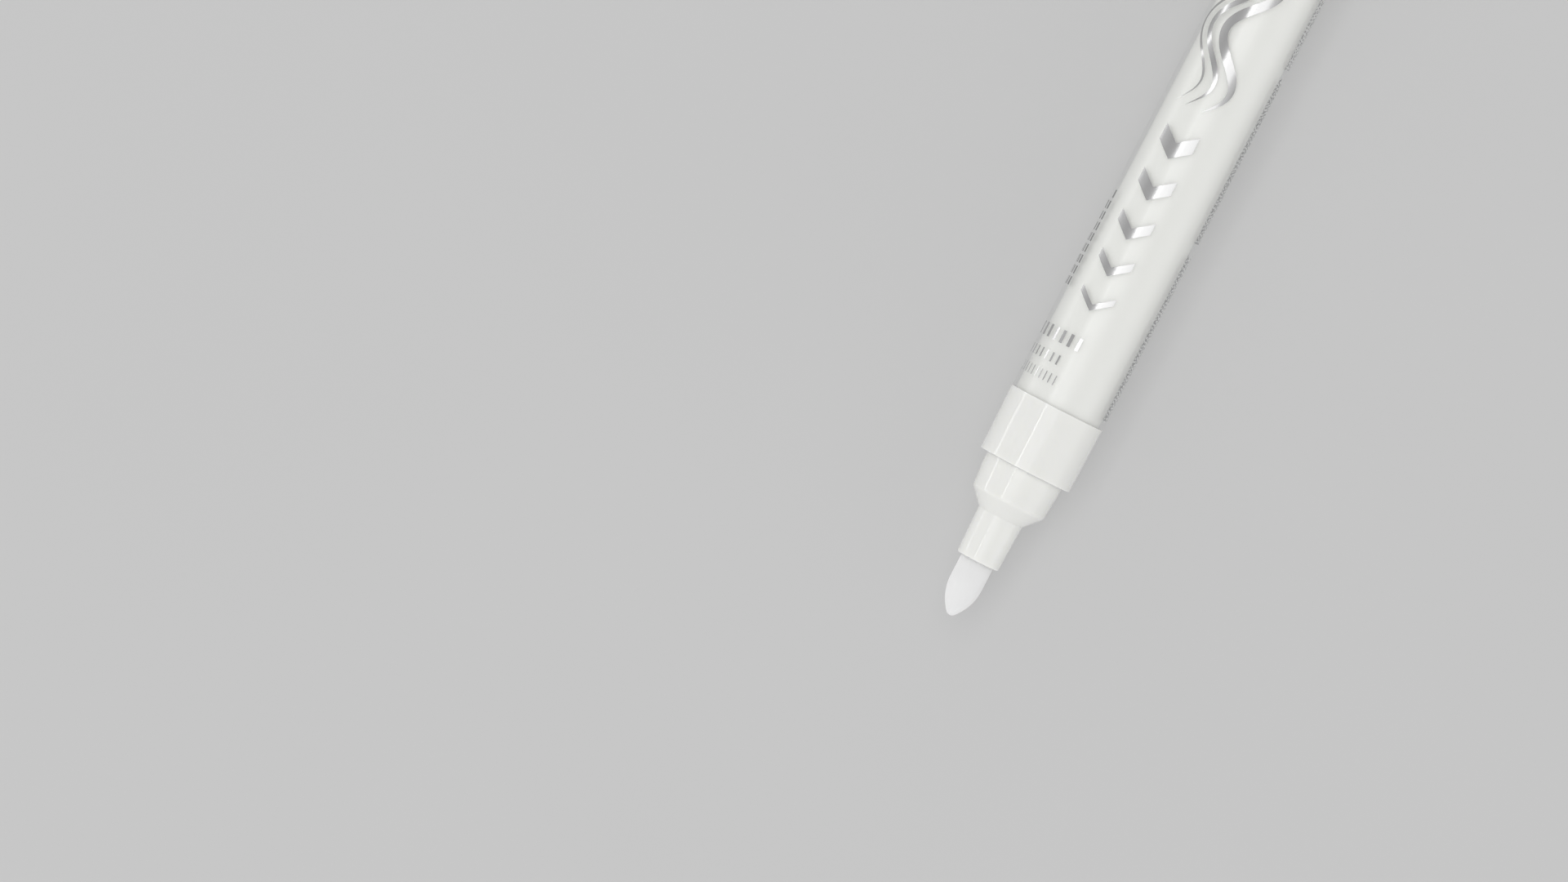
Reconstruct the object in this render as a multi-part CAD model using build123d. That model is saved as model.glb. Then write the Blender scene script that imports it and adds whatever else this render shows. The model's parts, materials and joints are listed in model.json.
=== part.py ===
"""Liquid chalk marker with a spring valve: a clear barrel over a white ink tube, and a push-in bullet nib.

Every piece is turned about the marker's own axis, with height 0 at the rear end and the nib at the top.
The finished pieces are then laid down together: nib towards -X, collar touching the ground at Z = 0.
All sizes are in millimetres.
"""
import math
import os

from build123d import *

# Lengths along the axis, from the rear end to the nib
plug_flange_length = 4.0
barrel_length = 93.3
collar_length = 10.4
seat_length = 5.4
shoulder_length = 2.5
snout_length = 7.4
nib_exposed = 9.0

# Clear barrel and ink tube
barrel_diameter = 15.0
barrel_wall = 0.6
tube_clearance = 0.05
ink_tube_wall = 0.8

# Clearance between fixed pieces that push together
fit_clearance = 0.05

# Rear plug
plug_step = 0.1
plug_rounding = 1.2
plug_recess_diameter = 8.4
plug_recess_depth = 0.5
plug_spigot_length = 9.0
plug_spigot_wall = 1.4
plug_floor = 2.5
plug_lead_in = 0.5
plug_groove_offset = 3.0

# Seal rings round both spigots
seal_section = 0.7
seal_play = 0.01
groove_side_play = 0.15

# Collar
collar_proud = 0.05
collar_draft = 0.16
collar_front_rounding = 0.25
collar_rear_rounding = 0.12
collar_spigot_length = 12.0
collar_spigot_wall = 1.4
collar_lip_length = 1.0
collar_lip_width = 0.8
collar_shoulder_offset = 0.9
collar_ledge = 1.0
collar_groove_offset = 4.0
collar_lead_in = 0.4

# Snap bead that locks the nib holder in the collar
snap_height = 0.2
snap_length = 1.2
snap_offset = 4.0

# Nib holder: cap seat, conical shoulder and snout
seat_step = 0.6
seat_draft = 0.3
seat_land_length = 1.6
holder_wall = 1.0
shoulder_rounding = 0.5
snout_root_rounding = 0.4
snout_wall = 0.6
snout_draft = 0.2
snout_rounding = 0.2
rib_count = 4
rib_width = 0.7
rib_play = 0.06

# Nib
nib_diameter = 5.2
nib_clearance = 0.2
nib_point_length = 5.4
nib_tip_radius = 0.9
nib_rear_chamfer = 0.5
press_travel = 2.5
press_reserve = 0.5

# Ink buffer, the felt ring round the nib
buffer_length = 7.0
buffer_play = 0.1

# Valve
valve_seat_thickness = 1.5
valve_flow_gap = 0.5
cage_wall = 0.8
cage_floor = 1.2
cage_port_count = 6
cage_port_diameter = 1.2
stem_diameter = 2.4
stem_tail_diameter = 1.8
stem_tail_play = 0.1
stem_tail_proud = 0.3
stem_head_thickness = 1.5
stem_head_share = 0.5
stem_boss_length = 2.0
stem_flute_count = 3
stem_flute_diameter = 0.8

# Spring
spring_wire = 0.45
spring_play = 0.2
spring_turns = 6

# Agitator ball
ball_diameter = 6.0
ball_clearance = 0.1
ball_end_gap = 0.5

# One overrun for every cut that has to break through a face
overrun = 1.0

# Heights of the outer faces
barrel_rear = plug_flange_length
barrel_front = barrel_rear + barrel_length
collar_front = barrel_front + collar_length
seat_front = collar_front + seat_length
shoulder_front = seat_front + shoulder_length
snout_front = shoulder_front + snout_length
overall_length = snout_front + nib_exposed

# Radii of the tubes and of what plugs into them
barrel_radius = barrel_diameter / 2
barrel_bore = barrel_radius - barrel_wall
tube_radius = barrel_bore - tube_clearance
tube_bore = tube_radius - ink_tube_wall
spigot_radius = tube_bore - fit_clearance
plug_radius = barrel_radius - plug_step
collar_rear_radius = barrel_radius + collar_proud
collar_front_radius = collar_rear_radius - collar_draft
cage_seat_radius = spigot_radius - collar_spigot_wall
collar_bore = cage_seat_radius + collar_ledge
holder_spigot_radius = collar_bore - fit_clearance
seat_rear_radius = holder_spigot_radius + seat_step
seat_front_radius = seat_rear_radius - seat_draft
holder_cavity = holder_spigot_radius - holder_wall

# Radii about the nib
nib_radius = nib_diameter / 2
nib_bore = nib_radius + nib_clearance
snout_front_radius = nib_bore + snout_wall
snout_rear_radius = snout_front_radius + snout_draft

# Radii and heights of the valve
stem_radius = stem_diameter / 2
stem_tail_radius = stem_tail_diameter / 2
valve_hole = stem_radius + valve_flow_gap
cage_radius = cage_seat_radius - fit_clearance
cage_bore = cage_radius - cage_wall
stem_head_radius = valve_hole + stem_head_share * (cage_bore - valve_hole)
valve_rear = barrel_front + collar_shoulder_offset
valve_front = valve_rear + valve_seat_thickness
collar_spigot_rear = barrel_front - collar_spigot_length
cage_rear = collar_spigot_rear + collar_lip_length
cage_floor_front = cage_rear + cage_floor
stem_head_rear = valve_rear - stem_head_thickness
stem_tail_rear = cage_rear - stem_tail_proud
nib_rear = valve_front + press_travel + press_reserve

# Seal grooves
groove_width = seal_section + 2 * groove_side_play
groove_radius = tube_bore - seal_section
collar_groove = barrel_front - collar_groove_offset
plug_groove = barrel_rear + plug_groove_offset

# Where the agitator ball lies and how far it can run
plug_spigot_front = barrel_rear + plug_spigot_length
ball_radius = ball_diameter / 2
ball_drop = tube_bore - ball_radius - ball_clearance
ball_front = stem_tail_rear - press_travel - ball_end_gap - ball_radius
ball_rear = plug_spigot_front + ball_end_gap + ball_radius
ball_travel = ball_front - ball_rear

# How the marker lies: its axis along X, at the collar's radius above the ground
axis_height = collar_rear_radius
LAID_DOWN = Location((overall_length / 2, 0, axis_height), (0, -90, 0))


def turned(*corners):
    """A solid turned about the axis from corners (radius, height) or (radius, height, rounding)."""
    points = [(corner[0], 0, corner[1]) for corner in corners]
    roundings = [corner[2] if len(corner) > 2 else 0 for corner in corners]
    return revolve(make_face(FilletPolyline(points, radius=roundings, close=True)), Axis.Z)


def tube(inner, outer, low, high):
    """A plain tube between two heights."""
    return turned((inner, low), (outer, low), (outer, high), (inner, high))


def rod(radius, low, high, x=0, y=0):
    """A plain round bar parallel to the axis."""
    middle = Location((x, y, (low + high) / 2))
    return middle * Cylinder(radius, high - low)


def round_the_axis(count, shape):
    """Copies of a shape, evenly spaced round the axis."""
    return [Rot(0, 0, 360 * number / count) * shape for number in range(count)]


def seal_groove(middle):
    """The ring-shaped cut in a spigot that holds a seal ring."""
    half = groove_width / 2
    return tube(groove_radius, spigot_radius + overrun, middle - half, middle + half)


def seal_ring(middle):
    """A soft ring that fills the space between its groove and the ink tube's bore."""
    section_radius = seal_section / 2 - seal_play
    return Pos(0, 0, middle) * Torus(groove_radius + seal_section / 2, section_radius)


def outer_barrel():
    return tube(barrel_bore, barrel_radius, barrel_rear, barrel_front)


def ink_tube():
    return tube(tube_bore, tube_radius, barrel_rear, barrel_front)


def rear_plug():
    """The end plug: a rounded flange with a shallow recess, and a hollow spigot in the ink tube."""
    recess_radius = plug_recess_diameter / 2
    hollow = spigot_radius - plug_spigot_wall
    body = turned(
        (0, plug_recess_depth),
        (recess_radius, plug_recess_depth),
        (recess_radius, 0),
        (plug_radius, 0, plug_rounding),
        (plug_radius, barrel_rear),
        (spigot_radius, barrel_rear),
        (spigot_radius, plug_spigot_front - plug_lead_in),
        (spigot_radius - plug_lead_in, plug_spigot_front),
        (hollow, plug_spigot_front),
        (hollow, plug_floor),
        (0, plug_floor),
    )
    return body - seal_groove(plug_groove)


def collar():
    """The front housing: the visible ring, and a spigot behind it that carries the valve."""
    snap_middle = collar_front - snap_offset
    snap_half = snap_length / 2
    lip_radius = cage_seat_radius - collar_lip_width
    body = turned(
        (lip_radius, collar_spigot_rear),
        (spigot_radius - collar_lead_in, collar_spigot_rear),
        (spigot_radius, collar_spigot_rear + collar_lead_in),
        (spigot_radius, barrel_front),
        (collar_rear_radius, barrel_front, collar_rear_rounding),
        (collar_front_radius, collar_front, collar_front_rounding),
        (collar_bore, collar_front),
        (collar_bore, snap_middle + snap_half),
        (collar_bore + snap_height, snap_middle),
        (collar_bore, snap_middle - snap_half),
        (collar_bore, valve_rear),
        (cage_seat_radius, valve_rear),
        (cage_seat_radius, cage_rear),
        (lip_radius, cage_rear),
    )
    return body - seal_groove(collar_groove)


def nib_holder():
    """Cap seat, shoulder and snout in one moulding, snapped into the collar, with ribs that guide the nib."""
    snap_middle = collar_front - snap_offset
    snap_half = snap_length / 2
    cone_slope = shoulder_length / (seat_front_radius - snout_rear_radius)
    bore_rear = seat_front + (holder_cavity - nib_bore) * cone_slope
    body = turned(
        (holder_cavity, valve_front),
        (holder_spigot_radius, valve_front),
        (holder_spigot_radius, snap_middle - snap_half),
        (holder_spigot_radius + snap_height, snap_middle),
        (holder_spigot_radius, snap_middle + snap_half),
        (holder_spigot_radius, collar_front),
        (seat_rear_radius, collar_front),
        (seat_rear_radius, collar_front + seat_land_length),
        (seat_front_radius, seat_front, shoulder_rounding),
        (snout_rear_radius, shoulder_front, snout_root_rounding),
        (snout_front_radius, snout_front, snout_rounding),
        (nib_bore, snout_front),
        (nib_bore, bore_rear),
        (holder_cavity, seat_front),
    )
    rib_foot = nib_bore + snout_wall / 2
    rib_top = nib_radius + rib_play
    rib_length = snout_front - snout_rounding - bore_rear
    rib = Pos((rib_foot + rib_top) / 2, 0, bore_rear + rib_length / 2) * Box(
        rib_foot - rib_top, rib_width, rib_length
    )
    return body + round_the_axis(rib_count, rib)


def nib():
    """A bonded-fibre rod with a bullet point: an ogive that runs smoothly into a round tip."""
    shank_front = overall_length - nib_point_length
    tip_centre = overall_length - nib_tip_radius
    rise = tip_centre - shank_front
    ogive_radius = (nib_radius**2 + rise**2 - nib_tip_radius**2) / (2 * (nib_radius - nib_tip_radius))
    lean = math.atan2(rise, ogive_radius - nib_radius)
    meeting = (nib_tip_radius * math.cos(lean), 0, tip_centre + nib_tip_radius * math.sin(lean))
    ogive = TangentArc((nib_radius, 0, shank_front), meeting, tangent=(0, 0, 1))
    point = TangentArc(meeting, (0, 0, overall_length), tangent=ogive % 1)
    shank = Polyline(
        (0, 0, overall_length),
        (0, 0, nib_rear),
        (nib_radius - nib_rear_chamfer, 0, nib_rear),
        (nib_radius, 0, nib_rear + nib_rear_chamfer),
        (nib_radius, 0, shank_front),
    )
    return revolve(make_face(shank + ogive + point), Axis.Z)


def ink_buffer():
    """A felt ring in the nib holder that soaks up surplus ink."""
    outer = holder_cavity - fit_clearance
    return tube(nib_radius + buffer_play, outer, seat_front - buffer_length, seat_front)


def valve_seat():
    """The soft washer that the stem's head closes against, clamped between collar and nib holder."""
    return tube(valve_hole, collar_bore - fit_clearance, valve_rear, valve_front)


def valve_cage():
    """The cup that holds the spring and guides the stem's tail, with ports for the ink."""
    guide = stem_tail_radius + stem_tail_play
    cup = turned(
        (guide, cage_rear),
        (cage_radius, cage_rear),
        (cage_radius, valve_rear),
        (cage_bore, valve_rear),
        (cage_bore, cage_floor_front),
        (guide, cage_floor_front),
    )
    lip_radius = cage_seat_radius - collar_lip_width
    port = rod(
        cage_port_diameter / 2,
        cage_rear - overrun,
        cage_floor_front + overrun,
        x=(guide + lip_radius) / 2,
    )
    return cup - round_the_axis(cage_port_count, port)


def valve_stem():
    """The plunger that the nib pushes back: fluted shaft, sealing head, spring boss and guided tail."""
    boss_radius = stem_tail_radius + spring_play
    body = turned(
        (0, stem_tail_rear),
        (stem_tail_radius, stem_tail_rear),
        (stem_tail_radius, stem_head_rear - stem_boss_length),
        (boss_radius, stem_head_rear - stem_boss_length),
        (boss_radius, stem_head_rear),
        (stem_head_radius, stem_head_rear),
        (stem_head_radius, valve_rear),
        (stem_radius, valve_rear),
        (stem_radius, nib_rear),
        (0, nib_rear),
    )
    flute = rod(stem_flute_diameter / 2, valve_rear, nib_rear + overrun, x=stem_radius)
    return body - round_the_axis(stem_flute_count, flute)


def valve_spring():
    """An open coil between the cage's floor and the stem's head."""
    wire_radius = spring_wire / 2
    coil_radius = stem_tail_radius + 2 * spring_play + wire_radius
    height = stem_head_rear - cage_floor_front - spring_wire
    start = (0, 0, cage_floor_front + wire_radius)
    path = Helix(height / spring_turns, height, coil_radius, center=start)
    section = Plane(origin=path @ 0, z_dir=path % 0) * Circle(wire_radius)
    return sweep(section, path=path, is_frenet=True)


def agitator_ball():
    """The loose mixing ball, lying in the bottom of the ink tube."""
    return Pos(-ball_drop, 0, ball_front) * Sphere(ball_radius)


PIECES = {
    "outer_barrel": outer_barrel(),
    "ink_tube": ink_tube(),
    "rear_plug": rear_plug(),
    "rear_seal_ring": seal_ring(plug_groove),
    "collar": collar(),
    "front_seal_ring": seal_ring(collar_groove),
    "nib_holder": nib_holder(),
    "nib": nib(),
    "ink_buffer": ink_buffer(),
    "valve_seat": valve_seat(),
    "valve_cage": valve_cage(),
    "valve_stem": valve_stem(),
    "valve_spring": valve_spring(),
    "agitator_ball": agitator_ball(),
}

os.makedirs("parts", exist_ok=True)
for name, piece in PIECES.items():
    export_step(LAID_DOWN * piece, f"parts/{name}.step")

print(f"overall length {overall_length:.2f}, axis height {axis_height:.2f}, ball travel {ball_travel:.2f}")
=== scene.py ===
"""Looks of a liquid chalk marker: white mouldings, a clear barrel with foil marks, and a fibre nib."""
import json
import math

import bmesh
import bpy
from mathutils import Matrix, Vector


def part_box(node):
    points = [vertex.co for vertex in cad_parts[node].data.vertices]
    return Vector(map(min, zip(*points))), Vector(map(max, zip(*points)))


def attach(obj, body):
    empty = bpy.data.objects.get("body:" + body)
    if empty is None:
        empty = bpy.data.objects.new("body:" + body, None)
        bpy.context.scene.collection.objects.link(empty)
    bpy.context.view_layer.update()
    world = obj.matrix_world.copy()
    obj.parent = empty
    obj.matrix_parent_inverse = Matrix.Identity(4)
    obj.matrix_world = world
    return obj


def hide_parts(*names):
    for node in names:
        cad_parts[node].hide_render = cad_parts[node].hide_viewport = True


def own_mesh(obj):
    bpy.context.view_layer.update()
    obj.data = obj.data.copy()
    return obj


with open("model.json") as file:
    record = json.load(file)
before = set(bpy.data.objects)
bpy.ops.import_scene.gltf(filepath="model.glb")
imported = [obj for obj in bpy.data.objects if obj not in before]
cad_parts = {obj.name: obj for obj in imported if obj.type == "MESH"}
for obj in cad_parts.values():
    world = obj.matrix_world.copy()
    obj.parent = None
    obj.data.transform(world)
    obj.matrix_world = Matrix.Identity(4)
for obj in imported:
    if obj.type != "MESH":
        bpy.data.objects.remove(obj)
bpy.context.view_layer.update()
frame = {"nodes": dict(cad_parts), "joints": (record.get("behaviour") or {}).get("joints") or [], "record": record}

# Units, and the line that every piece is turned about
MM = 0.001
MOUNTS = {mount["name"]: mount for mount in frame["record"]["mounts"]}
AXIS_HEIGHT = MOUNTS["barrel_grip"]["pos_m"][2]


def reach(node):
    """Front end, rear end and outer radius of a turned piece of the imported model, in millimetres."""
    low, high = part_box(node)
    return low.x / MM, high.x / MM, (high.z - AXIS_HEIGHT) / MM


# Places along the axis and radii, in millimetres; the nib points to -X
NIB_TIP, NIB_REAR, NIB_RADIUS = reach("nib")
SNOUT_FRONT, HOLDER_REAR, SEAT_RADIUS = reach("nib_holder")
FELT_FRONT, FELT_REAR, FELT_RADIUS = reach("ink_buffer")
COLLAR_FRONT, COLLAR_REAR, COLLAR_RADIUS = reach("collar")
WASHER_REAR = reach("valve_seat")[1]
CAGE_REAR, CAGE_RADIUS = reach("valve_cage")[1:]
SPRING_FRONT, SPRING_REAR, SPRING_RADIUS = reach("valve_spring")
BARREL_FRONT, BARREL_REAR, BARREL_RADIUS = reach("outer_barrel")
TUBE_FRONT, TUBE_REAR, TUBE_RADIUS = reach("ink_tube")
PLUG_FRONT, PLUG_REAR, PLUG_RADIUS = reach("rear_plug")

# Nib
NIB_POINT_LENGTH = 5.4
NIB_TIP_RADIUS = 0.9
NIB_REAR_CHAMFER = 0.5
NIB_OGIVE_STEPS = 24
NIB_TIP_STEPS = 16

# Nib holder: cap seat, conical shoulder and ribbed snout
SEAT_LENGTH = 5.4
SEAT_LAND = MOUNTS["cap_seat"]["dims"]["length_mm"]
SEAT_DRAFT = 0.3
SHOULDER_LENGTH = 2.5
SHOULDER_ROUNDING = 1.0
SNOUT_ROOT_ROUNDING = 0.4
SNOUT_ROUNDING = 0.2
SNOUT_WALL = 0.6
SNOUT_DRAFT = 0.2
NIB_CLEARANCE = 0.2
HOLDER_WALL = 1.0
HOLDER_STEP = 0.6
RIB_COUNT = 4
RIB_WIDTH = 0.7
RIB_HEIGHT = 0.14
RIB_LEAD_IN = 0.05
PARTING_HEIGHT = 0.012

# Felt ring; its lumps are waves, so many round it and so many radians per millimetre along it
FELT_PLAY = 0.1
FELT_ROUNDING = 0.4
FELT_NAP = 0.08
FELT_STEP = 0.4
FELT_LUMPS = ((7, 3), (19, -5))

# Tubes
BARREL_WALL = 0.6
BARREL_EDGE = 0.05
TUBE_WALL = 0.8

# Spigots of collar and plug, and the grooves for their seal rings
FIT_PLAY = 0.05
SPIGOT_RADIUS = TUBE_RADIUS - TUBE_WALL - FIT_PLAY
SPIGOT_WALL = 1.4
SPIGOT_LEAD_IN = 0.4
SEAL_THICKNESS = 0.68
GROOVE_WIDTH = 1.0

# Collar
COLLAR_DRAFT = 0.16
COLLAR_FRONT_ROUNDING = 0.1
COLLAR_REAR_ROUNDING = 0.06
COLLAR_LIP = 0.8

# Rear plug
PLUG_ROUNDING = 1.2
PLUG_RECESS_RADIUS = 4.2
PLUG_RECESS_DEPTH = 0.5
PLUG_FLOOR = 2.5
GATE_RADIUS = 0.9
GATE_HEIGHT = 0.15

# Spring
SPRING_WIRE = 0.45
SPRING_OPEN_TURNS = 4
SPRING_CLOSED_TURNS = 1
SPRING_STEPS = 36
SPRING_SIDES = 12

# Fineness of the meshes
STEPS_ROUND = 256
STEPS_ARC = 8
SHARP_ANGLE = math.radians(30)
JOIN_DISTANCE = 0.0002

# Foil marks, laid out on the unrolled barrel: millimetres behind the collar, and round it from the top line
FOIL_LIFT = 0.003
FOIL_THICKNESS = 0.015
FOIL_STEP = 0.25

CHEVRON_START = 15.0
CHEVRON_END = 45.0
CHEVRON_WIDTHS = (1.0, 1.4, 1.8, 2.2, 2.6)
CHEVRON_SIDES = (-5.5, 0.3)
CHEVRON_LEAN = 0.75

FLOW_START = 48.5
FLOW_END = 88.0
FLOW_WAVE = 17.0
FLOW_SWING = 2.6
FLOW_TIP = 0.02
FLOW_TAPER = 6
FLOW_WIDTHS = {-6.3: 0.45, -4.2: 0.85, -1.4: 1.4}

TICK_ROWS = (
    {"along": 3.5, "sides": (-10.2, -2.4), "count": 10, "height": 1.5, "width": 0.16},
    {"along": 6.4, "sides": (-10.2, -3.4), "count": 7, "height": 1.5, "width": 0.3},
    {"along": 9.8, "sides": (-10.2, -1.6), "count": 7, "height": 2.0, "width": 0.55},
)

# Blocks of dashes: where they start, and where each row ends; an end of 0 leaves its row out
GOLDEN = 0.618034
RIGHT_ROWS = {"first": 8.9, "pitch": 0.82, "lengths": (0.2, 0.8), "gap": 0.28, "width": 0.28}
RIGHT_BLOCKS = {
    1.5: (29.0, 28.4, 28.8, 29.2, 17.0, 0.0, 28.6, 29.0, 24.0),
    31.0: (58.0, 57.2, 57.8, 40.0, 0.0, 57.5, 58.2, 57.8, 57.0, 47.0),
    60.0: (86.0, 84.8, 85.6, 85.2, 85.8, 71.0, 0.0, 85.4, 78.0),
}
LEFT_ROWS = {"first": -9.2, "pitch": -1.1, "lengths": (1.3, 1.3), "gap": 0.5, "width": 0.5}
LEFT_BLOCKS = {17.0: (32.0, 31.0, 25.0)}

# Camera: straight down on the marker, leaning a little towards its rear end
PIXELS = Vector((1920, 1080))
PIXELS_PER_METRE = 8240
TIP_PIXEL = Vector((1162.7, 752.8))
AXIS_LEAN = math.radians(27.36)
CAMERA_TILT = math.radians(2.0)
CAMERA_DISTANCE = 1.3
CAMERA_SENSOR = 36
CAMERA_REACH = 100

# Floor and lights, in metres; a panel covers degrees from overhead towards -Y, and has a radiance
FLOOR_HALF = 10
PANELS = {
    "overhead": (-21.5, 8.0, 0.74),
    "overhead_wide": (-21.5, 24.0, 0.42),
    "overhead_edge": (-26.0, -22.5, 4.0),
    "left_horizon": (-89.8, -83.0, 2.0),
    "right_strip": (29.0, 35.0, 0.15),
}
PANEL_DISTANCE = 2.2
PANEL_LENGTH = 5.0
PANEL_FORWARD = 1.2


class Signal:
    """An output of a node; sums written on it add Math nodes beside it."""

    def __init__(self, bench, socket):
        self.bench = bench
        self.socket = socket

    def worked(self, operation, first, second):
        return self.bench.node("Math", {"operation": operation}, {0: first, 1: second})

    def __add__(self, other):
        return self.worked("ADD", self, other)

    def __radd__(self, other):
        return self.worked("ADD", other, self)

    def __mul__(self, other):
        return self.worked("MULTIPLY", self, other)

    def __rmul__(self, other):
        return self.worked("MULTIPLY", other, self)


class Bench:
    """The node tree of a material or world, emptied and then built up."""

    def __init__(self, owner):
        owner.use_nodes = True
        self.owner = owner
        self.tree = owner.node_tree
        self.tree.nodes.clear()

    def node(self, kind, settings=None, sockets=None, output=0):
        """Adds a node, sets it up, then gives its sockets their values or links."""
        made = self.tree.nodes.new("ShaderNode" + kind)
        for name, value in (settings or {}).items():
            setattr(made, name, value)
        for name, value in (sockets or {}).items():
            if isinstance(value, Signal):
                self.tree.links.new(value.socket, made.inputs[name])
            else:
                made.inputs[name].default_value = value
        return Signal(self, made.outputs[output]) if made.outputs else None

    def noise(self, per_mm, detail):
        """Noise from 0 to 1 with so many lumps per millimetre along X, Y and Z."""
        place = self.node("TexCoord", output=3)
        stretch = [count / MM for count in per_mm]
        scaled = self.node("VectorMath", {"operation": "MULTIPLY"}, {0: place, 1: stretch})
        return self.node("TexNoise", None, {"Vector": scaled, "Scale": 1.0, "Detail": detail})

    def between(self, value, low, high):
        """How far a value has come from low to high, from 0 to 1, held at both ends."""
        return self.node("MapRange", None, {0: value, 1: low, 2: high})

    def mix(self, share, first, second):
        """A colour between two colours."""
        return self.node("Mix", {"data_type": "RGBA"}, {0: share, 6: first, 7: second}, output=2)

    def bump(self, height, depth_mm, strength=1.0):
        """A normal that shows heights from 0 to 1 as a relief of that depth."""
        return self.node("Bump", None, {"Height": height, "Strength": strength, "Distance": depth_mm * MM})

    def surface(self, sockets):
        """Ends the tree with a Principled surface and gives back the material."""
        shader = self.node("BsdfPrincipled", None, sockets)
        self.node("OutputMaterial", None, {"Surface": shader})
        return self.owner


def finish_called(name):
    return Bench(bpy.data.materials.new(name))


def grey(tone):
    """A neutral colour."""
    return tone, tone, tone, 1


def moulded_white():
    """Glossy white polypropylene, a little translucent, with faint flow clouds and mould texture."""
    bench = finish_called("moulded_white")
    cloud = bench.noise((0.10, 0.16, 0.16), 3.0)
    peel = bench.noise((0.8, 0.8, 0.8), 1.0)
    dust = bench.noise((5.0, 5.0, 5.0), 2.0)
    return bench.surface({
        "Base Color": bench.mix(cloud, (0.846, 0.848, 0.822, 1), (0.866, 0.868, 0.845, 1)),
        "Roughness": 0.035 + 0.02 * cloud + 0.015 * dust,
        "Normal": bench.bump(peel, 0.002),
        "IOR": 1.49,
        "Subsurface Weight": 1.0,
        "Subsurface Radius": (1.0, 1.0, 0.95),
        "Subsurface Scale": 0.4 * MM,
    })


def tube_white():
    """Satin white tube that is seen through the clear barrel."""
    bench = finish_called("tube_white")
    cloud = bench.noise((0.06, 0.2, 0.2), 3.0)
    drawn = bench.noise((0.05, 6.0, 6.0), 2.0)
    return bench.surface({
        "Base Color": bench.mix(cloud, (0.836, 0.842, 0.808, 1), (0.856, 0.860, 0.832, 1)),
        "Roughness": 0.42 + 0.10 * drawn,
        "Normal": bench.bump(drawn, 0.002),
        "IOR": 1.49,
    })


def clear_plastic():
    """Clear glossy wall, too thin to bend the view: it only mirrors, and most at its rims."""
    bench = finish_called("clear_plastic")
    haze = bench.noise((0.08, 0.25, 0.25), 4.0)
    drawn = bench.noise((0.02, 1.5, 1.5), 1.0)
    facing = bench.node("LayerWeight", None, {"Blend": 0.5}, output=1)
    squared = facing * facing
    return bench.surface({
        "Base Color": bench.mix(haze, (0.95, 0.955, 0.95, 1), (1, 1, 1, 1)),
        "Metallic": 1.0,
        "Roughness": 0.18 + 0.08 * haze,
        "Normal": bench.bump(drawn, 0.001),
        "Alpha": 0.026 + 0.006 * haze + 0.94 * (squared * squared * facing),
    })


def stamped_foil(name, tone):
    """Hot-stamped foil of a grey tone, with the faint unevenness of the die."""
    bench = finish_called(name)
    uneven = bench.noise((0.5, 0.5, 0.5), 2.0)
    speck = bench.noise((9.0, 9.0, 9.0), 3.0)
    return bench.surface({
        "Base Color": bench.mix(speck, grey(tone), grey(tone + 0.06)),
        "Metallic": 1.0,
        "Roughness": 0.17 + 0.06 * uneven + 0.04 * speck,
        "Normal": bench.bump(uneven, 0.004),
    })


def nib_fibre():
    """Bonded white fibres along the nib, with painted shade that darkens it a little towards its point."""
    bench = finish_called("nib_fibre")
    fibre = bench.noise((0.25, 14.0, 14.0), 3.0)
    cloud = bench.noise((0.3, 0.5, 0.5), 2.0)
    along = bench.node("SeparateXYZ", None, {0: bench.node("TexCoord", output=3)})
    # Painted shade: the base colour darkens towards the point, where more light falls on the nib
    tip_painted_shade = bench.between(along, (NIB_TIP + NIB_POINT_LENGTH) * MM, NIB_TIP * MM)
    shank = bench.mix(0.6 * fibre + 0.4 * cloud, grey(0.758), grey(0.798))
    return bench.surface({
        "Base Color": bench.mix(0.2 * tip_painted_shade, shank, grey(0.70)),
        "Roughness": 0.82 + 0.12 * fibre,
        "Normal": bench.bump(fibre, 0.02, 0.5),
        "Subsurface Weight": 1.0,
        "Subsurface Radius": (1.0, 1.0, 1.0),
        "Subsurface Scale": 3.0 * MM,
        "Sheen Weight": 1.0,
        "Sheen Roughness": 0.7,
        "Specular IOR Level": 0.2,
    })


def buffer_felt():
    """Dense white felt with crossing fibres."""
    bench = finish_called("buffer_felt")
    tuft = bench.noise((6.0, 6.0, 6.0), 5.0)
    return bench.surface({
        "Base Color": bench.mix(tuft, (0.70, 0.69, 0.66, 1), (0.86, 0.85, 0.82, 1)),
        "Roughness": 0.85 + 0.1 * tuft,
        "Normal": bench.bump(tuft, 0.08),
        "Sheen Weight": 0.4,
    })


def seal_rubber():
    """Dark silicone of the seal rings and the valve seat, faintly dusty."""
    bench = finish_called("seal_rubber")
    bloom = bench.noise((1.2, 1.2, 1.2), 4.0)
    return bench.surface({
        "Base Color": bench.mix(bloom, (0.035, 0.036, 0.038, 1), (0.075, 0.076, 0.078, 1)),
        "Roughness": 0.45 + 0.2 * bloom,
        "Normal": bench.bump(bloom, 0.01),
    })


def valve_plastic():
    """Natural, slightly milky plastic of the valve cage and stem."""
    bench = finish_called("valve_plastic")
    cloud = bench.noise((0.4, 0.4, 0.4), 3.0)
    tool = bench.noise((8.0, 0.5, 0.5), 2.0)
    return bench.surface({
        "Base Color": bench.mix(cloud, (0.74, 0.745, 0.72, 1), (0.82, 0.825, 0.80, 1)),
        "Roughness": 0.28 + 0.12 * tool,
        "Normal": bench.bump(tool, 0.004),
        "Subsurface Weight": 0.3,
        "Subsurface Scale": 1.0 * MM,
    })


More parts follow.
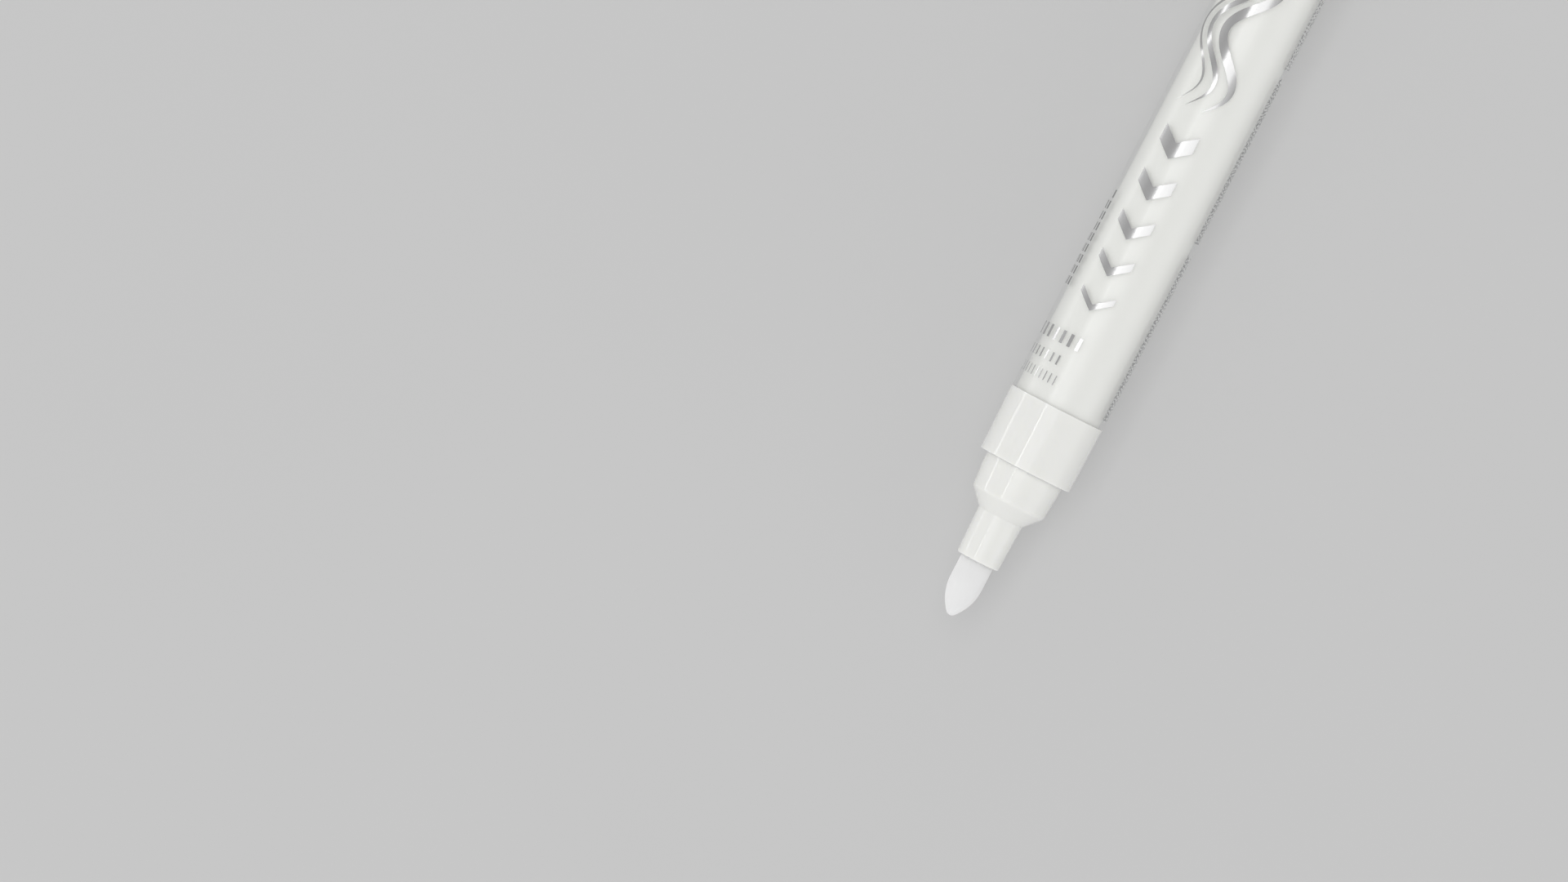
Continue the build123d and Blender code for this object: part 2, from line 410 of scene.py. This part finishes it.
def bare_steel(name, per_mm, roughness):
    """Stainless steel with fine drawing or tumbling marks."""
    bench = finish_called(name)
    mark = bench.noise(per_mm, 3.0)
    return bench.surface({
        "Base Color": bench.mix(mark, (0.52, 0.52, 0.53, 1), (0.66, 0.66, 0.67, 1)),
        "Metallic": 1.0,
        "Roughness": roughness + 0.12 * mark,
        "Normal": bench.bump(mark, 0.003),
    })


def grey_acrylic():
    """Pale grey sheet, lit a little from below like a light table."""
    bench = finish_called("grey_acrylic")
    cloud = bench.noise((0.012, 0.012, 0.012), 3.0)
    return bench.surface({
        "Base Color": bench.mix(cloud, grey(0.30), grey(0.32)),
        "Roughness": 0.85 + 0.1 * cloud,
        "Specular IOR Level": 0.1,
        "Emission Color": (1, 1, 1, 1),
        "Emission Strength": 0.272,
    })


def rounded(corners):
    """The points of an outline, with an arc at each corner that gives a rounding as its third number."""
    points = []
    for index, corner in enumerate(corners):
        here = Vector(corner[:2])
        if len(corner) < 3:
            points.append(here)
            continue
        back = (Vector(corners[index - 1][:2]) - here).normalized()
        ahead = (Vector(corners[(index + 1) % len(corners)][:2]) - here).normalized()
        half = back.angle(ahead) / 2
        centre = here + (back + ahead).normalized() * corner[2] / math.sin(half)
        start = here + back * corner[2] / math.tan(half) - centre
        turn = math.copysign(math.pi - 2 * half, -back.cross(ahead))
        for step in range(STEPS_ARC + 1):
            points.append(centre + Matrix.Rotation(turn * step / STEPS_ARC, 2) @ start)
    return points


def divided(points, step):
    """The points of a closed outline, with more between them wherever they lie further apart than a step."""
    result = []
    for start, end in zip(points, points[1:] + points[:1]):
        pieces = max(1, math.ceil((end - start).length / step))
        result.extend(start.lerp(end, piece / pieces) for piece in range(pieces))
    return result


def about_axis(place, radius, angle):
    """A point in metres, from its place along the axis, its distance from it and its angle from the top."""
    return place * MM, -math.sin(angle) * radius * MM, math.cos(angle) * radius * MM


def skin(rings, closed=False):
    """Points and faces of a skin over rings of points; a closed one joins its last ring to its first."""
    count = len(rings[0])
    faces = []
    for ring in range(len(rings) if closed else len(rings) - 1):
        near, far = ring * count, (ring + 1) % len(rings) * count
        for step in range(count):
            after = (step + 1) % count
            faces.append((near + step, near + after, far + after, far + step))
    return [point for ring in rings for point in ring], faces


def piece_on_axis(name, points, faces):
    """An object about the marker's axis, its doubled points joined, shaded smooth between sharp edges."""
    mesh = bpy.data.meshes.new(name)
    mesh.from_pydata(points, [], faces)
    work = bmesh.new()
    work.from_mesh(mesh)
    bmesh.ops.remove_doubles(work, verts=work.verts, dist=JOIN_DISTANCE * MM)
    bmesh.ops.recalc_face_normals(work, faces=work.faces)
    for face in work.faces:
        face.smooth = True
    for edge in work.edges:
        edge.smooth = edge.calc_face_angle(0) < SHARP_ANGLE
    work.to_mesh(mesh)
    work.free()
    piece = bpy.data.objects.new(name, mesh)
    piece.location = (0, 0, AXIS_HEIGHT)
    bpy.context.scene.collection.objects.link(piece)
    return piece


def turned(name, outline, reshape=None):
    """A piece turned about the axis from outline points (place, radius), in millimetres.

    Reshape, where it is given, changes a radius by its place and its angle from the top.
    """
    angles = [2 * math.pi * step / STEPS_ROUND for step in range(STEPS_ROUND)]
    rings = []
    for place, radius in outline:
        radii = [reshape(place, radius, angle) if reshape else radius for angle in angles]
        rings.append([about_axis(place, away, angle) for away, angle in zip(radii, angles)])
    return piece_on_axis(name, *skin(rings, closed=True))


def settle(piece, material, body, node=None):
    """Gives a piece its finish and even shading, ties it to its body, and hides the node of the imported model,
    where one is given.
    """
    piece.data.materials.append(material)
    shading = piece.modifiers.new("even_shading", "WEIGHTED_NORMAL")
    shading.keep_sharp = True
    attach(piece, body)
    if node:
        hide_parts(node)


def nib_outline():
    """Half the section of the nib: an ogive that runs smoothly into a round tip."""
    shank_front = NIB_TIP + NIB_POINT_LENGTH
    tip_centre = NIB_TIP + NIB_TIP_RADIUS
    rise = shank_front - tip_centre
    ogive = (NIB_RADIUS**2 + rise**2 - NIB_TIP_RADIUS**2) / (2 * (NIB_RADIUS - NIB_TIP_RADIUS))
    lean = math.atan2(rise, ogive - NIB_RADIUS)
    points = [
        (NIB_REAR, 0),
        (NIB_REAR, NIB_RADIUS - NIB_REAR_CHAMFER),
        (NIB_REAR - NIB_REAR_CHAMFER, NIB_RADIUS),
    ]
    for step in range(NIB_OGIVE_STEPS):
        angle = lean * step / NIB_OGIVE_STEPS
        points.append((shank_front - ogive * math.sin(angle), NIB_RADIUS - ogive * (1 - math.cos(angle))))
    for step in range(NIB_TIP_STEPS + 1):
        angle = lean + (math.pi / 2 - lean) * step / NIB_TIP_STEPS
        points.append((tip_centre - NIB_TIP_RADIUS * math.sin(angle), NIB_TIP_RADIUS * math.cos(angle)))
    return points


def add_nib(material):
    settle(turned("fibre_nib", nib_outline()), material, "writing_nib", "nib")


def add_nib_holder(material):
    """Cap seat, shoulder and snout in one moulding, with guide ribs in its mouth and faint parting lines."""
    seat_front = COLLAR_FRONT - SEAT_LENGTH
    shoulder_front = seat_front - SHOULDER_LENGTH
    spigot = SEAT_RADIUS - HOLDER_STEP
    cavity = spigot - HOLDER_WALL
    bore = NIB_RADIUS + NIB_CLEARANCE
    snout = bore + SNOUT_WALL
    seat_end = SEAT_RADIUS - SEAT_DRAFT
    cone_slope = SHOULDER_LENGTH / (seat_end - snout - SNOUT_DRAFT)
    bore_rear = seat_front - (cavity - bore) * cone_slope
    rib_front = SNOUT_FRONT + SNOUT_ROUNDING
    rib_half = RIB_WIDTH / 2 / bore
    rib_sector = 2 * math.pi / RIB_COUNT

    def shaped(place, radius, angle):
        from_rib = (angle + rib_sector / 2) % rib_sector - rib_sector / 2
        along_rib = rib_front <= place <= bore_rear and abs(from_rib) < rib_half
        if along_rib and abs(radius - bore) < SNOUT_ROUNDING / 2:
            return radius - RIB_HEIGHT
        from_side = abs(abs(math.pi - angle) - math.pi / 2)
        if radius >= snout and from_side < math.pi / STEPS_ROUND:
            return radius + PARTING_HEIGHT
        return radius

    outline = rounded([
        (HOLDER_REAR, cavity),
        (HOLDER_REAR, spigot),
        (COLLAR_FRONT, spigot),
        (COLLAR_FRONT, SEAT_RADIUS),
        (COLLAR_FRONT - SEAT_LAND, SEAT_RADIUS),
        (seat_front, seat_end, SHOULDER_ROUNDING),
        (shoulder_front, snout + SNOUT_DRAFT, SNOUT_ROOT_ROUNDING),
        (SNOUT_FRONT, snout, SNOUT_ROUNDING),
        (SNOUT_FRONT, bore, SNOUT_ROUNDING / 2),
        (rib_front, bore),
        (rib_front + RIB_LEAD_IN, bore),
        (bore_rear - RIB_LEAD_IN, bore),
        (bore_rear, bore),
        (seat_front, cavity),
    ])
    settle(turned("moulded_holder", outline, shaped), material, "marker_body", "nib_holder")


def add_felt_ring(material):
    """The felt ring in the nib holder, with soft corners and an uneven nap."""
    inner = NIB_RADIUS + FELT_PLAY
    corners = [
        (FELT_FRONT, FELT_RADIUS, FELT_ROUNDING),
        (FELT_FRONT, inner, FELT_ROUNDING),
        (FELT_REAR, inner, FELT_ROUNDING),
        (FELT_REAR, FELT_RADIUS, FELT_ROUNDING),
    ]

    def matted(place, radius, angle):
        lumps = sum(math.sin(around * angle + along * place) for around, along in FELT_LUMPS)
        sunk = FELT_NAP * (1 + lumps / len(FELT_LUMPS)) / 2
        return radius - sunk if radius > (inner + FELT_RADIUS) / 2 else radius + sunk

    outline = divided(rounded(corners), FELT_STEP)
    settle(turned("felt_ring", outline, matted), material, "marker_body", "ink_buffer")


def seal_groove(ring):
    """Corners of the groove that a seal ring lies in, from its rear to its front."""
    front, rear, radius = reach(ring)
    middle = (front + rear) / 2
    floor = radius - SEAL_THICKNESS
    return [
        (middle + GROOVE_WIDTH / 2, SPIGOT_RADIUS),
        (middle + GROOVE_WIDTH / 2, floor),
        (middle - GROOVE_WIDTH / 2, floor),
        (middle - GROOVE_WIDTH / 2, SPIGOT_RADIUS),
    ]


def add_collar(material):
    """The wide white ring in front of the barrel, with the grooved spigot that carries the valve."""
    holder_bore = SEAT_RADIUS - HOLDER_STEP + FIT_PLAY
    cage_bore = CAGE_RADIUS + FIT_PLAY
    lip = cage_bore - COLLAR_LIP
    outline = rounded([
        (COLLAR_REAR, lip),
        (COLLAR_REAR, SPIGOT_RADIUS - SPIGOT_LEAD_IN),
        (COLLAR_REAR - SPIGOT_LEAD_IN, SPIGOT_RADIUS),
        *seal_groove("front_seal_ring"),
        (BARREL_FRONT, SPIGOT_RADIUS),
        (BARREL_FRONT, COLLAR_RADIUS, COLLAR_REAR_ROUNDING),
        (COLLAR_FRONT, COLLAR_RADIUS - COLLAR_DRAFT, COLLAR_FRONT_ROUNDING),
        (COLLAR_FRONT, holder_bore),
        (WASHER_REAR, holder_bore),
        (WASHER_REAR, cage_bore),
        (CAGE_REAR, cage_bore),
        (CAGE_REAR, lip),
    ])
    settle(turned("moulded_collar", outline), material, "marker_body", "collar")


def add_barrel(material):
    outline = rounded([
        (BARREL_FRONT, BARREL_RADIUS - BARREL_WALL),
        (BARREL_FRONT, BARREL_RADIUS, BARREL_EDGE),
        (BARREL_REAR, BARREL_RADIUS, BARREL_EDGE),
        (BARREL_REAR, BARREL_RADIUS - BARREL_WALL),
    ])
    settle(turned("clear_barrel", outline), material, "marker_body", "outer_barrel")


def add_ink_tube(material):
    outline = [
        (TUBE_FRONT, TUBE_RADIUS - TUBE_WALL),
        (TUBE_FRONT, TUBE_RADIUS),
        (TUBE_REAR, TUBE_RADIUS),
        (TUBE_REAR, TUBE_RADIUS - TUBE_WALL),
    ]
    settle(turned("white_ink_tube", outline), material, "marker_body", "ink_tube")


def add_rear_plug(material):
    """The end plug, with a shallow round recess and the mark of its moulding gate."""
    hollow = SPIGOT_RADIUS - SPIGOT_WALL
    recess = PLUG_REAR - PLUG_RECESS_DEPTH
    outline = rounded([
        (recess + GATE_HEIGHT, 0),
        (recess + GATE_HEIGHT, GATE_RADIUS, GATE_HEIGHT / 2),
        (recess, GATE_RADIUS + GATE_HEIGHT, GATE_HEIGHT / 4),
        (recess, PLUG_RECESS_RADIUS, PLUG_RECESS_DEPTH / 3),
        (PLUG_REAR, PLUG_RECESS_RADIUS, PLUG_RECESS_DEPTH / 3),
        (PLUG_REAR, PLUG_RADIUS, PLUG_ROUNDING),
        (BARREL_REAR, PLUG_RADIUS, BARREL_EDGE),
        (BARREL_REAR, SPIGOT_RADIUS),
        *seal_groove("rear_seal_ring"),
        (PLUG_FRONT + SPIGOT_LEAD_IN, SPIGOT_RADIUS),
        (PLUG_FRONT, SPIGOT_RADIUS - SPIGOT_LEAD_IN),
        (PLUG_FRONT, hollow),
        (PLUG_REAR - PLUG_FLOOR, hollow),
        (PLUG_REAR - PLUG_FLOOR, 0),
    ])
    settle(turned("moulded_plug", outline), material, "marker_body", "rear_plug")


def spring_wire():
    """Points and faces of a coil with a closed turn at each end."""
    turns = SPRING_OPEN_TURNS + 2 * SPRING_CLOSED_TURNS
    wire = SPRING_WIRE / 2
    coil = SPRING_RADIUS - wire
    open_length = SPRING_REAR - SPRING_FRONT - SPRING_WIRE * (1 + 2 * SPRING_CLOSED_TURNS)
    rings = []
    for step in range(turns * SPRING_STEPS + 1):
        turn = step / SPRING_STEPS
        in_open = min(max(turn - SPRING_CLOSED_TURNS, 0), SPRING_OPEN_TURNS)
        from_rear = wire + SPRING_WIRE * (turn - in_open) + open_length * in_open / SPRING_OPEN_TURNS
        ring = []
        for side in range(SPRING_SIDES):
            lean = 2 * math.pi * side / SPRING_SIDES
            place = SPRING_REAR - from_rear - wire * math.sin(lean)
            ring.append(about_axis(place, coil + wire * math.cos(lean), 2 * math.pi * turn))
        rings.append(ring)
    points, faces = skin(rings)
    faces.append(tuple(range(SPRING_SIDES)))
    faces.append(tuple(range(len(points) - SPRING_SIDES, len(points))))
    return points, faces


def add_spring(material):
    """The coil spring at its rest length; how far the stem's travel would shorten it is worked out but not
    applied.
    """
    piece = piece_on_axis("coil_spring", *spring_wire())
    settle(piece, material, "marker_body", "valve_spring")
    travel = next(joint for joint in frame["joints"] if joint["name"] == "stem_slide")["range_m"][1] / MM
    keep = 1 - travel / (SPRING_REAR - SPRING_FRONT)
    anchor = (SPRING_REAR * MM, 0, AXIS_HEIGHT)
    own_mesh(piece)


def stroke(line, sides):
    """Points and faces of a foil stroke: its middle line, and from each point of it the way to its edge."""
    rails = math.ceil(2 * max(side.length for side in sides) / FOIL_STEP)
    rings = []
    for point, side in zip(line, sides):
        edges = [point + side * (2 * rail / rails - 1) for rail in range(rails + 1)]
        ring = []
        for lift, row in ((FOIL_LIFT, edges), (FOIL_LIFT + FOIL_THICKNESS, edges[::-1])):
            for along, around in row:
                ring.append(about_axis(BARREL_FRONT + along, BARREL_RADIUS + lift, around / BARREL_RADIUS))
        rings.append(ring)
    points, faces = skin(rings)
    for first in (0, len(points) - len(rings[0])):
        last = first + len(rings[0]) - 1
        faces.extend((first + rail, first + rail + 1, last - rail - 1, last - rail) for rail in range(rails))
    return points, faces


def bar(start, end, around, width):
    """A straight foil stroke that runs along the barrel."""
    line = [Vector((start, around)), Vector((end, around))]
    return stroke(line, [Vector((0, width / 2))] * 2)


def chevrons():
    """Chevrons that point to the nib, each bolder than the one in front of it."""
    left, right = CHEVRON_SIDES
    middle, half = (left + right) / 2, (right - left) / 2
    depth = CHEVRON_LEAN * half
    steps = 2 * math.ceil(half / FOIL_STEP)
    gap = (CHEVRON_END - CHEVRON_START - depth - sum(CHEVRON_WIDTHS)) / (len(CHEVRON_WIDTHS) - 1)
    apex = CHEVRON_START
    for width in CHEVRON_WIDTHS:
        line = []
        for step in range(steps + 1):
            share = 2 * step / steps - 1
            line.append(Vector((apex + width / 2 + depth * abs(share), middle + half * share)))
        yield stroke(line, [Vector((width / 2, 0))] * len(line))
        apex += width + gap


def flow_lines():
    """Three waves side by side along the barrel, from fine to bold, drawn to points at their ends."""
    length = FLOW_END - FLOW_START
    steps = math.ceil(length / FOIL_STEP)
    for offset, width in FLOW_WIDTHS.items():
        line, sides = [], []
        for step in range(steps + 1):
            share = step / steps
            turn = 2 * math.pi * length * share / FLOW_WAVE
            slope = 2 * math.pi * FLOW_SWING / FLOW_WAVE * math.cos(turn)
            half = width / 2 * min(1, FLOW_TIP + FLOW_TAPER * min(share, 1 - share))
            line.append(Vector((FLOW_START + length * share, offset + FLOW_SWING * math.sin(turn))))
            sides.append(Vector((-slope, 1)).normalized() * half)
        yield stroke(line, sides)


def ticks(along, sides, count, height, width):
    """A row of upright ticks round the barrel."""
    for index in range(count):
        around = sides[0] + (sides[1] - sides[0]) * index / (count - 1)
        yield bar(along - height / 2, along + height / 2, around, width)


def tick_rows():
    """Three rows of ticks behind the collar, from fine to bold."""
    for row in TICK_ROWS:
        yield from ticks(**row)


def dashes(start, ends, first, pitch, lengths, gap, width):
    """A block of rows of dashes that run along the barrel, their lengths mixed between two limits."""
    shortest, longest = lengths
    index = 0
    for row, end in enumerate(ends):
        place = start
        while place < end:
            length = shortest + (longest - shortest) * (index * GOLDEN % 1) ** 2
            yield bar(place, place + length, first + pitch * row, width)
            place += length + gap
            index += 1


def fine_rows():
    """Three blocks of fine rows on the right flank of the barrel, and a bolder one on the left."""
    for rows, blocks in ((RIGHT_ROWS, RIGHT_BLOCKS), (LEFT_ROWS, LEFT_BLOCKS)):
        for start, ends in blocks.items():
            yield from dashes(start, ends, **rows)


def add_mark(name, strokes, material):
    """One piece of foil made of all the strokes of a mark; it is too thin to shade the tube."""
    points, faces = [], []
    for stroke_points, stroke_faces in strokes:
        first = len(points)
        points.extend(stroke_points)
        faces.extend(tuple(first + corner for corner in face) for face in stroke_faces)
    piece = piece_on_axis(name, points, faces)
    piece.visible_shadow = False
    settle(piece, material, "marker_body")


def add_foil(bright, dark):
    add_mark("foil_chevrons", chevrons(), bright)
    add_mark("foil_flow_lines", flow_lines(), bright)
    add_mark("foil_tick_rows", tick_rows(), bright)
    # The fine rows get a darker copy of the foil: a painted dark reflection on the barrel's flanks
    add_mark("foil_fine_rows", fine_rows(), dark)


def dress_inner_pieces():
    """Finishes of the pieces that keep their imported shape."""
    rubber, plastic = seal_rubber(), valve_plastic()
    finishes = {
        "front_seal_ring": rubber,
        "rear_seal_ring": rubber,
        "valve_seat": rubber,
        "valve_cage": plastic,
        "valve_stem": plastic,
        "agitator_ball": bare_steel("ball_steel", (2.0, 2.0, 2.0), 0.12),
    }
    for name, material in finishes.items():
        slots = frame["nodes"][name].data.materials
        slots.clear()
        slots.append(material)


def add_floor(material):
    corners = [(x * FLOOR_HALF, y * FLOOR_HALF, 0) for x, y in ((-1, -1), (1, -1), (1, 1), (-1, 1))]
    mesh = bpy.data.meshes.new("floor")
    mesh.from_pydata(corners, [], [(0, 1, 2, 3)])
    mesh.materials.append(material)
    floor = bpy.data.objects.new("floor", mesh)
    bpy.context.scene.collection.objects.link(floor)


def add_panel(name, first, last, radiance):
    """A long light panel beside or above the marker, turned towards it."""
    middle = math.radians(first + last) / 2
    towards = Vector((0, -math.sin(middle), math.cos(middle)))
    width = 2 * PANEL_DISTANCE * math.tan(math.radians(last - first) / 2)
    data = bpy.data.lights.new(name, "AREA")
    data.shape = "RECTANGLE"
    data.size = PANEL_LENGTH
    data.size_y = width
    data.energy = radiance * math.pi * PANEL_LENGTH * width
    lamp = bpy.data.objects.new(name, data)
    along = Vector((1, 0, 0))
    turn = Matrix((along, towards.cross(along), towards)).transposed().to_4x4()
    lamp.matrix_world = Matrix.Translation(towards * PANEL_DISTANCE - along * PANEL_FORWARD) @ turn
    lamp.visible_camera = False
    bpy.context.scene.collection.objects.link(lamp)


def add_world():
    """A pale room, brighter low in front and on both sides, most of all on the right."""
    world = bpy.data.worlds.new("pale_room")
    bpy.context.scene.world = world
    bench = Bench(world)
    way = bench.node("TexCoord")
    across = bench.node("SeparateXYZ", None, {0: way}, output=1)
    front = bench.between(bench.node("SeparateXYZ", None, {0: way}), -0.5, -0.95)
    left = bench.between(across, -0.25, 0.3)
    low_left = bench.between(across, 0.8, 0.95)
    low_right = bench.between(across, -0.5, -0.95)
    strength = 0.42 + 0.15 * left + 0.2 * low_left + 0.78 * low_right + 0.1 * front
    shade = bench.node("Background", None, {"Color": (1, 1, 1, 1), "Strength": strength})
    bench.node("OutputWorld", None, {"Surface": shade})


def add_camera():
    """A long lens over the marker, turned so that the nib points to the lower left of the picture."""
    back = Vector((math.sin(CAMERA_TILT), 0, math.cos(CAMERA_TILT)))
    along = Vector((math.cos(CAMERA_TILT), 0, -math.sin(CAMERA_TILT)))
    across = back.cross(along)
    right = along * math.sin(AXIS_LEAN) - across * math.cos(AXIS_LEAN)
    up = along * math.cos(AXIS_LEAN) + across * math.sin(AXIS_LEAN)
    offset = (PIXELS / 2 - TIP_PIXEL) / PIXELS_PER_METRE
    target = Vector((NIB_TIP * MM, 0, AXIS_HEIGHT)) + right * offset.x - up * offset.y
    data = bpy.data.cameras.new("camera")
    data.sensor_width = CAMERA_SENSOR
    data.lens = CAMERA_SENSOR * CAMERA_DISTANCE * PIXELS_PER_METRE / PIXELS.x
    data.clip_end = CAMERA_REACH
    camera = bpy.data.objects.new("camera", data)
    turn = Matrix((right, up, back)).transposed().to_4x4()
    camera.matrix_world = Matrix.Translation(target + back * CAMERA_DISTANCE) @ turn
    bpy.context.scene.collection.objects.link(camera)
    bpy.context.scene.camera = camera


add_camera()
add_floor(grey_acrylic())
add_world()
for panel, (first, last, radiance) in PANELS.items():
    add_panel(panel, first, last, radiance)
white = moulded_white()
add_nib(nib_fibre())
add_nib_holder(white)
add_collar(white)
add_barrel(clear_plastic())
add_ink_tube(tube_white())
add_rear_plug(white)
add_spring(bare_steel("spring_steel", (4.0, 4.0, 4.0), 0.2))
add_felt_ring(buffer_felt())
# The second, darker foil is a painted dark reflection for the fine rows
add_foil(stamped_foil("silver_foil", 0.53), stamped_foil("foil_painted_dark_reflection", 0.34))
dress_inner_pieces()
bpy.context.scene.view_settings.view_transform = "Standard"
